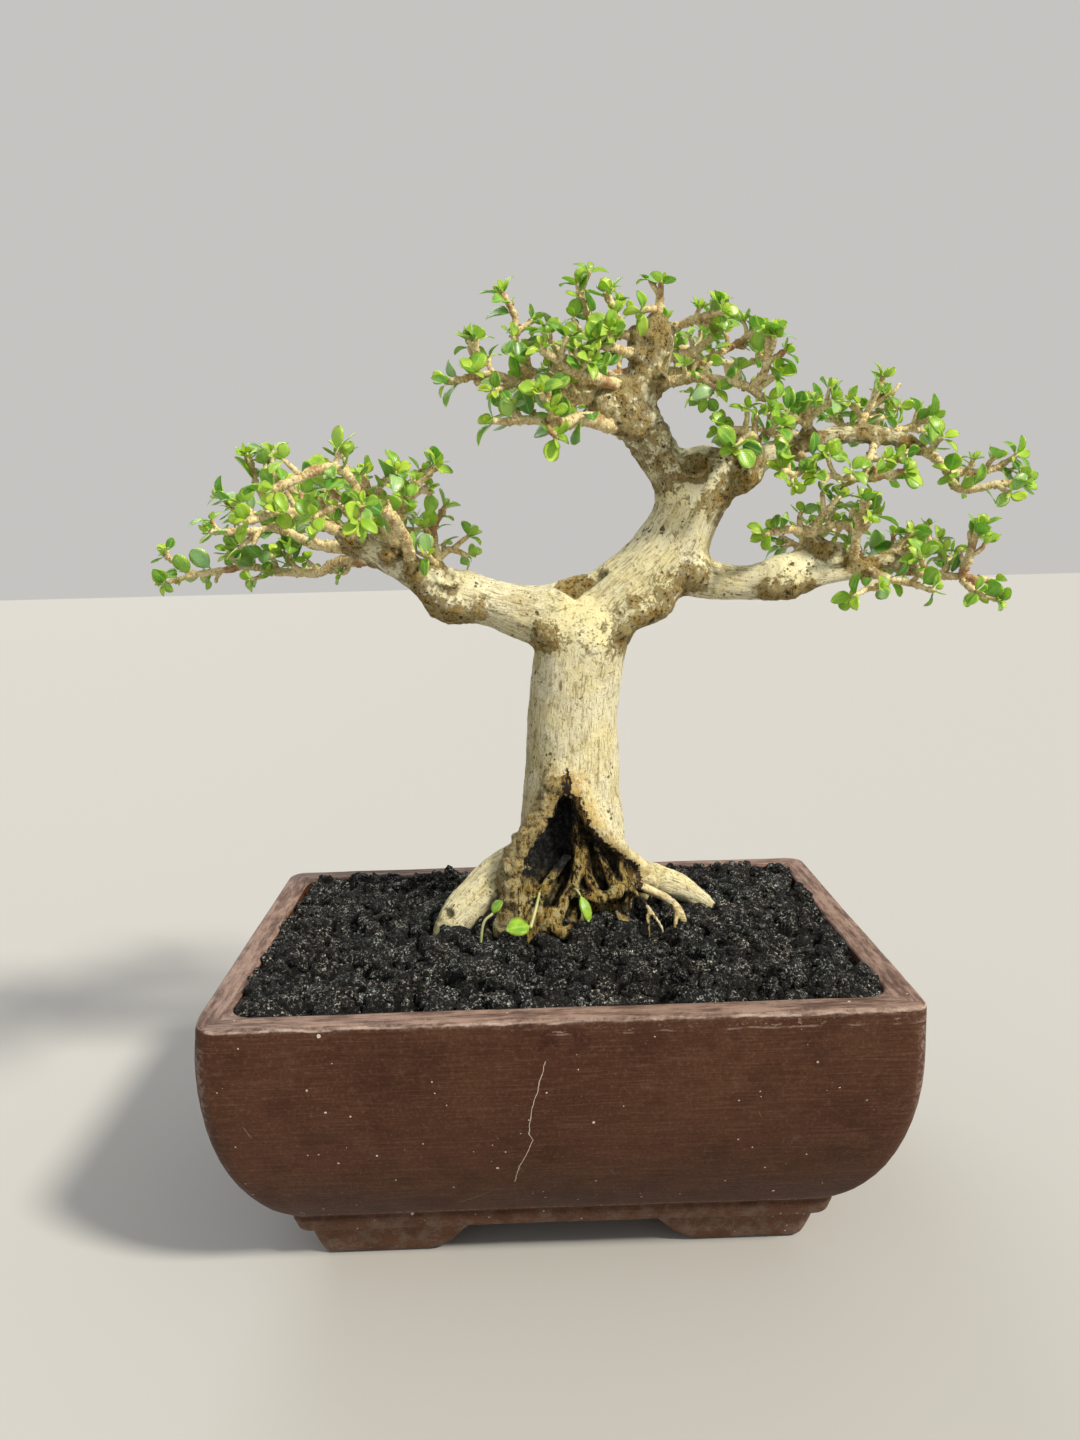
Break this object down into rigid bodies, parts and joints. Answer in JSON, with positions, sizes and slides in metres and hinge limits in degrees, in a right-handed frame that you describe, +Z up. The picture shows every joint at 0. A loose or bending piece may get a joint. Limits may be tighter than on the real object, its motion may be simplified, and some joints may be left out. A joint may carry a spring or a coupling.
{
  "type": "premna microphylla bonsai",
  "caption": "Small-leaved bonsai tree with a thick pale trunk, a basal hollow, spreading flat leaf pads and surface roots, in soil in a rectangular clay pot on feet.",
  "frame": {"origin": "ground level, in the middle of the footprint of pot and crown together; the pot's own middle is 19 mm towards -X", "axes": "+X to the right along the pot's long side, towards the longer crown side; +Y away from the front, the side with the trunk's hollow; +Z up"},
  "size_m": [0.3987, 0.194, 0.4089],
  "materials": {
    "clay": "unglazed dark brown clay, matt, with fine brush strokes and dust",
    "soil": "dark crumbly soil, dry and matt",
    "bark": "pale cream bark with fine fissures, ochre stains and a charred hollow",
    "foliage": "small bright green leaves, satin, with paler midribs, on tan twigs"
  },
  "bodies": {
    "root": {"pot": "clay", "soil": "soil", "trunk_and_limbs": "bark", "sprout_round_leaf": "foliage", "sprout_small_leaf": "foliage", "sprout_narrow_leaf": "foliage", "leafy_stem_left_low": "foliage", "leafy_stem_left_straight": "foliage", "leafy_stem_left_back": "foliage", "leafy_stem_left_front": "foliage", "leafy_stem_left_upright": "foliage", "leafy_stem_left_right": "foliage", "leafy_stem_left_rear": "foliage", "leafy_stem_left_rear_high": "foliage", "leafy_stem_crown_left": "foliage", "leafy_stem_crown_top": "foliage", "leafy_stem_crown_right": "foliage", "leafy_stem_crown_mid_left": "foliage", "leafy_stem_crown_mid_right": "foliage", "leafy_stem_crown_far_right": "foliage", "leafy_stem_crown_right_back": "foliage", "leafy_stem_crown_low_left": "foliage", "leafy_stem_crown_far_left": "foliage", "leafy_stem_crown_tall_left": "foliage", "leafy_stem_crown_stub_left": "foliage", "leafy_stem_crown_rear_left": "foliage", "leafy_stem_crown_rear_right": "foliage", "leafy_stem_crown_rear_low": "foliage", "leafy_stem_right_end": "foliage", "leafy_stem_right_vertical": "foliage", "leafy_stem_right_twig": "foliage", "leafy_stem_right_under": "foliage", "leafy_stem_right_under_near": "foliage", "leafy_stem_right_inner": "foliage", "leafy_stem_right_rear": "foliage", "leafy_stem_right_rear_mid": "foliage", "leafy_stem_right_rear_end": "foliage", "leafy_stem_low_end": "foliage", "leafy_stem_low_stub": "foliage", "leafy_stem_low_up": "foliage", "leafy_stem_low_under": "foliage", "leafy_stem_low_top": "foliage", "leafy_stem_low_rear": "foliage", "leafy_stem_low_rear_end": "foliage"}
  },
  "joints": []
}
